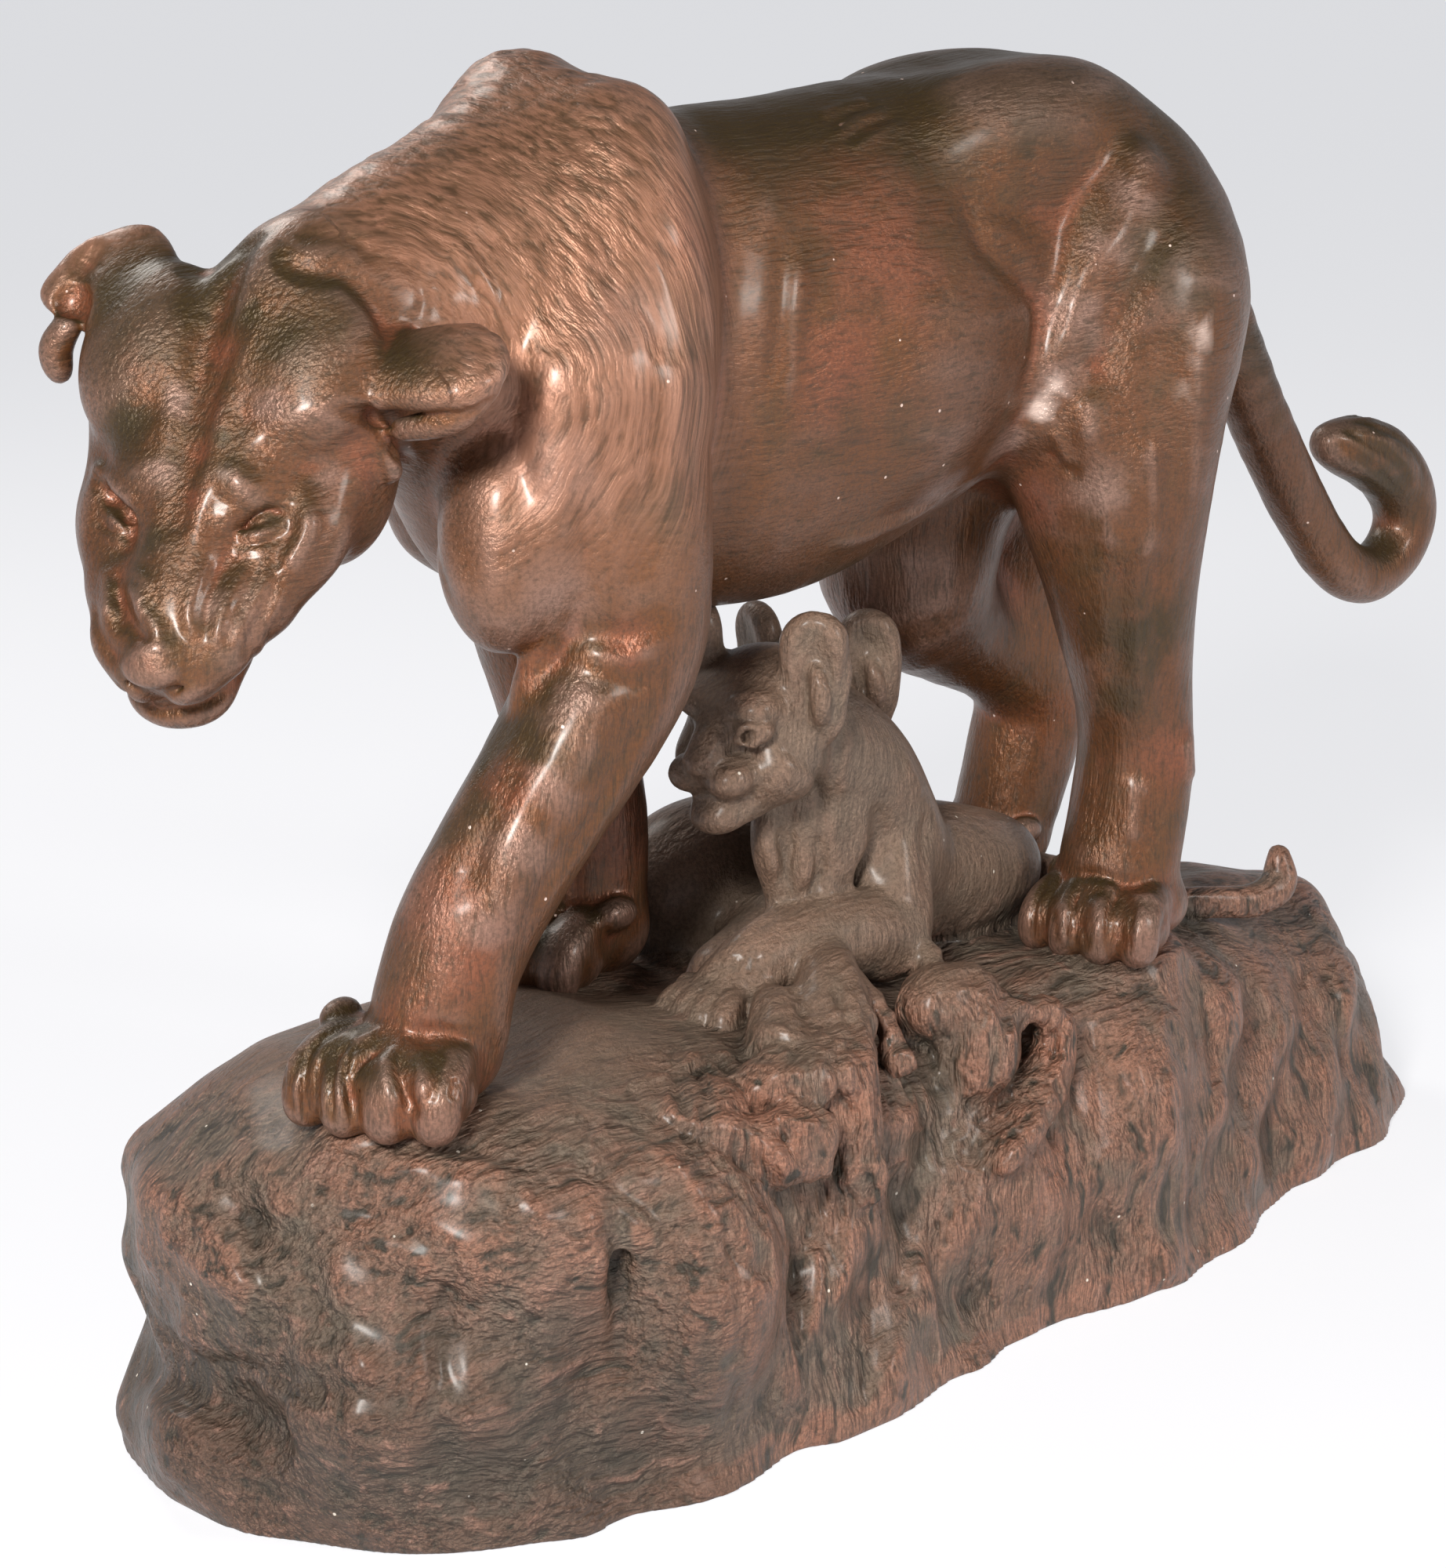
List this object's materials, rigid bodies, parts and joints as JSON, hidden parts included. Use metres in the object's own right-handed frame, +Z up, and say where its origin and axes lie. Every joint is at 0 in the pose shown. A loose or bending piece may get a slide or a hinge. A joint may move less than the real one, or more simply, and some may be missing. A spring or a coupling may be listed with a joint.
{
  "type": "animal sculpture",
  "caption": "Bronze sculpture of a lioness walking with lowered head over two cubs that lie on a rocky base; stands on its flat underside.",
  "frame": {"origin": "centre of the rock's flat underside", "axes": "+Z up; X along the rock, the lioness's head towards -X; -Y is her left side"},
  "size_m": [1.2025, 0.4273, 0.825],
  "materials": {
    "lioness_bronze": "satin brown patina on cast bronze",
    "rock_bronze": "dull reddish-brown patina on cast bronze"
  },
  "bodies": {
    "root": {"lioness": "lioness_bronze", "rock_with_cubs": "rock_bronze"}
  },
  "joints": []
}
